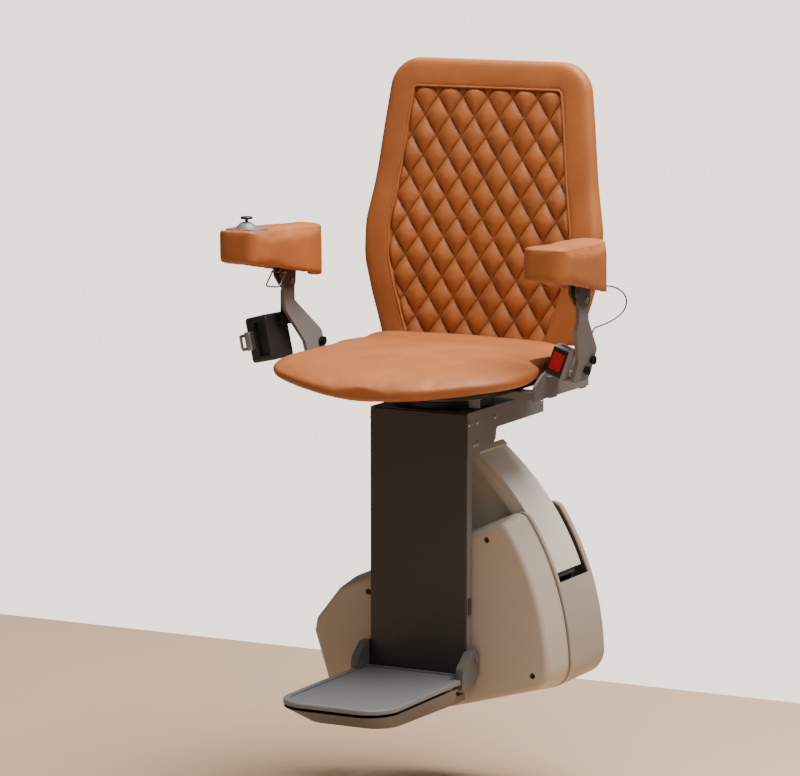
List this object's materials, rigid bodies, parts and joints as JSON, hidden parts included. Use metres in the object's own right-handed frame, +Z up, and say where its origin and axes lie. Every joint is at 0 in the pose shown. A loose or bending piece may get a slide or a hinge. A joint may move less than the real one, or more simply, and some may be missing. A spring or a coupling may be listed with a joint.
{
  "type": "stairlift chair",
  "caption": "Powered stairlift chair: quilted high back, folding seat, arms and footrest, belt, swivel, column on a curved spine that levels in a leaning drive unit",
  "frame": {"origin": "middle of the rail grip, halfway between the guide rollers and halfway along their length", "axes": "+X to the sitter's left, -Y the way the sitter faces, +Z up; the rail leans 18 degrees from +Z towards -X"},
  "size_m": [0.6049, 0.5723, 1.0342],
  "materials": {
    "steel_grey": "satin dark grey paint on steel plate",
    "casing": "fine-grained warm grey moulding",
    "housing": "fine-grained light warm grey moulding",
    "casing_spine": "smooth light warm grey moulding",
    "screw_black": "blackened steel",
    "steel_bright": "plain ground steel",
    "motor_body": "black enamel",
    "battery_case": "plain black case",
    "board_green": "green lacquered board",
    "bracket_grey": "satin mid grey powder coat",
    "column_dark": "fine-textured dark brown-grey powder coat",
    "black_plastic": "grained black moulding",
    "black_plastic_arm": "satin grey powder coat",
    "footrest_grey": "satin mid grey powder coat",
    "footrest_mat": "pebbled slate-grey mat",
    "seal_black": "closed-cell foam strip",
    "pan_light": "smooth light grey moulding",
    "lever_grey": "satin light grey moulding",
    "leather_tan": "soft semi-gloss tan hide with a fine grain",
    "belt_black": "woven black webbing",
    "button_red": "glossy red button face",
    "cable_black": "soft black cable sheath",
    "roller_white": "turned off-white nylon"
  },
  "bodies": {
    "drive_unit": {"drive_chassis": "steel_grey", "rear_frame": "steel_grey", "front_cover": "casing", "cover_screws": "screw_black", "rear_housing": "housing", "lower_housing": "housing", "fixed_axles": "steel_bright", "drive_gearmotor": "motor_body", "levelling_motor": "motor_body", "battery_pack": "battery_case", "control_board": "board_green"},
    "drive_pinion": {"drive_pinion": "steel_bright"},
    "levelling_pinion": {"levelling_pinion": "steel_bright"},
    "guide_roller_1": {"guide_roller_1": "roller_white"},
    "guide_roller_2": {"guide_roller_2": "roller_white"},
    "guide_roller_3": {"guide_roller_3": "roller_white"},
    "guide_roller_4": {"guide_roller_4": "roller_white"},
    "ring_roller_1": {"ring_roller_1": "roller_white"},
    "ring_roller_2": {"ring_roller_2": "roller_white"},
    "spine": {"spine_ring": "steel_grey", "levelling_rack": "steel_bright", "spine_cover": "casing_spine", "spine_web": "casing_spine", "seat_bracket": "bracket_grey", "bracket_screws": "steel_bright", "column_frame": "bracket_grey", "column_cover": "column_dark", "column_latch": "column_dark", "swivel_base": "black_plastic", "footrest_pins": "footrest_grey"},
    "turntable": {"swivel_plate": "bracket_grey", "seat_frame": "bracket_grey", "pivot_pins": "steel_bright", "backrest_cushion": "leather_tan", "backrest_shell": "black_plastic", "arm_post_left": "bracket_grey", "arm_post_right": "bracket_grey", "post_bolts": "screw_black", "belt_housing": "black_plastic", "buckle_housing": "lever_grey", "control_cable": "cable_black"},
    "swivel_lever": {"swivel_lever": "lever_grey"},
    "lock_pin": {"lock_pin": "steel_bright"},
    "seat": {"seat_pan": "black_plastic", "seat_cushion": "leather_tan"},
    "left_arm": {"arm_base_left": "black_plastic_arm", "arm_pad_left": "leather_tan", "control_plate": "lever_grey"},
    "right_arm": {"arm_base_right": "black_plastic_arm", "arm_pad_right": "leather_tan"},
    "joystick": {"joystick": "lever_grey"},
    "release_lever": {"release_lever": "steel_bright"},
    "belt_spool": {"belt_spool": "screw_black"},
    "belt_tongue": {"belt_tongue": "steel_bright", "belt_webbing": "belt_black"},
    "buckle_button": {"buckle_button": "button_red"},
    "footrest": {"footrest_frame": "footrest_grey", "footrest_tray": "footrest_mat", "footrest_seal": "seal_black"},
    "safety_pan": {"footrest_pan": "pan_light"}
  },
  "joints": [
    {"name": "drive_spin", "type": "hinge", "parent": "drive_unit", "child": "drive_pinion", "pos_m": [0.04898, 0, 0.01591], "axis": [0, 1, 0], "continuous": true},
    {"name": "guide_roller_1_spin", "type": "hinge", "parent": "drive_unit", "child": "guide_roller_1", "pos_m": [-0.05135, 0, 0.02537], "axis": [0, 1, 0], "continuous": true},
    {"name": "guide_roller_2_spin", "type": "hinge", "parent": "drive_unit", "child": "guide_roller_2", "pos_m": [-0.02663, 0, -0.05071], "axis": [0, 1, 0], "continuous": true},
    {"name": "guide_roller_3_spin", "type": "hinge", "parent": "drive_unit", "child": "guide_roller_3", "pos_m": [0.03139, 0, 0.05226], "axis": [0, 1, 0], "continuous": true},
    {"name": "guide_roller_4_spin", "type": "hinge", "parent": "drive_unit", "child": "guide_roller_4", "pos_m": [0.05611, 0, -0.02383], "axis": [0, 1, 0], "continuous": true},
    {"name": "levelling", "type": "hinge", "parent": "drive_unit", "child": "spine", "pos_m": [-0.05706, 0, -0.01854], "axis": [0, 1, 0], "range_deg": [0, 18]},
    {"name": "levelling_pinion_spin", "type": "hinge", "parent": "drive_unit", "child": "levelling_pinion", "pos_m": [0.27729, 0, 0.13032], "axis": [0, 1, 0], "range_deg": [-2, 295]},
    {"name": "ring_roller_1_spin", "type": "hinge", "parent": "drive_unit", "child": "ring_roller_1", "pos_m": [0.30196, 0.022, 0.14131], "axis": [0, 1, 0], "range_deg": [-5, 840]},
    {"name": "ring_roller_2_spin", "type": "hinge", "parent": "drive_unit", "child": "ring_roller_2", "pos_m": [0.27622, 0.022, 0.18972], "axis": [0, 1, 0], "range_deg": [-5, 840]},
    {"name": "swivel", "type": "hinge", "parent": "spine", "child": "turntable", "pos_m": [0.15294, -0.052, 0.40845], "axis": [0, 0, 1], "range_deg": [-90, 90]},
    {"name": "swivel_lever_turn", "type": "hinge", "parent": "turntable", "child": "swivel_lever", "pos_m": [0.21294, -0.07, 0.41345], "axis": [0, 0, 1], "range_deg": [0, 20], "stiffness_Nm_per_rad": 0.3, "springref_deg": -11.46},
    {"name": "lock_pin_lift", "type": "slide", "parent": "turntable", "child": "lock_pin", "axis": [0, 0, 1], "range_m": [0, 0.0041]},
    {"name": "seat_fold", "type": "hinge", "parent": "turntable", "child": "seat", "pos_m": [0.15294, 0.023, 0.45945], "axis": [-1, 0, 0], "range_deg": [0, 82]},
    {"name": "left_arm_fold", "type": "hinge", "parent": "turntable", "child": "left_arm", "pos_m": [-0.10406, -0.094, 0.57545], "axis": [-1, 0, 0], "range_deg": [0, 82]},
    {"name": "right_arm_fold", "type": "hinge", "parent": "turntable", "child": "right_arm", "pos_m": [0.40994, -0.094, 0.57545], "axis": [-1, 0, 0], "range_deg": [0, 82], "deforming": ["control_cable"]},
    {"name": "joystick_tilt", "type": "hinge", "parent": "left_arm", "child": "joystick", "pos_m": [-0.11106, -0.212, 0.66145], "axis": [0, 1, 0], "range_deg": [-10, 10], "stiffness_Nm_per_rad": 0.05},
    {"name": "release_lever_turn", "type": "hinge", "parent": "left_arm", "child": "release_lever", "pos_m": [-0.10406, -0.122, 0.59245], "axis": [-1, 0, 0], "range_deg": [0, 25], "stiffness_Nm_per_rad": 0.05, "springref_deg": -17.19},
    {"name": "belt_spool_turn", "type": "hinge", "parent": "turntable", "child": "belt_spool", "pos_m": [-0.12811, -0.104, 0.48587], "axis": [-0.2079, 0, 0.9781], "range_deg": [0, 123.4], "stiffness_Nm_per_rad": 0.02, "springref_deg": -171.89},
    {"name": "belt_pull", "type": "slide", "parent": "turntable", "child": "belt_tongue", "axis": [0, -1, 0], "range_m": [0, 0.0281]},
    {"name": "buckle_press", "type": "slide", "parent": "turntable", "child": "buckle_button", "axis": [0, 1, 0], "range_m": [0, 0.003], "stiffness_N_per_m": 200, "springref_m": -0.002},
    {"name": "footrest_fold", "type": "hinge", "parent": "spine", "child": "footrest", "pos_m": [0.15294, -0.1335, 0.00895], "axis": [-1, 0, 0], "range_deg": [0, 82]},
    {"name": "safety_pan_lift", "type": "slide", "parent": "footrest", "child": "safety_pan", "axis": [0, 0, 1], "range_m": [0, 0.004], "stiffness_N_per_m": 1500, "springref_m": -0.004}
  ],
  "couplings": [
    {"joint": "guide_roller_1_spin", "follows": "drive_spin", "ratio": -2},
    {"joint": "guide_roller_2_spin", "follows": "drive_spin", "ratio": -2},
    {"joint": "guide_roller_3_spin", "follows": "drive_spin", "ratio": 1.2857},
    {"joint": "guide_roller_4_spin", "follows": "drive_spin", "ratio": 1.2857},
    {"joint": "levelling_pinion_spin", "follows": "levelling", "ratio": 16.25},
    {"joint": "ring_roller_1_spin", "follows": "levelling", "ratio": 46.207},
    {"joint": "ring_roller_2_spin", "follows": "levelling", "ratio": 46.207},
    {"joint": "lock_pin_lift", "follows": "swivel_lever_turn", "m_per_rad": 0.0115},
    {"joint": "belt_pull", "follows": "belt_spool_turn", "m_per_rad": 0.013}
  ]
}
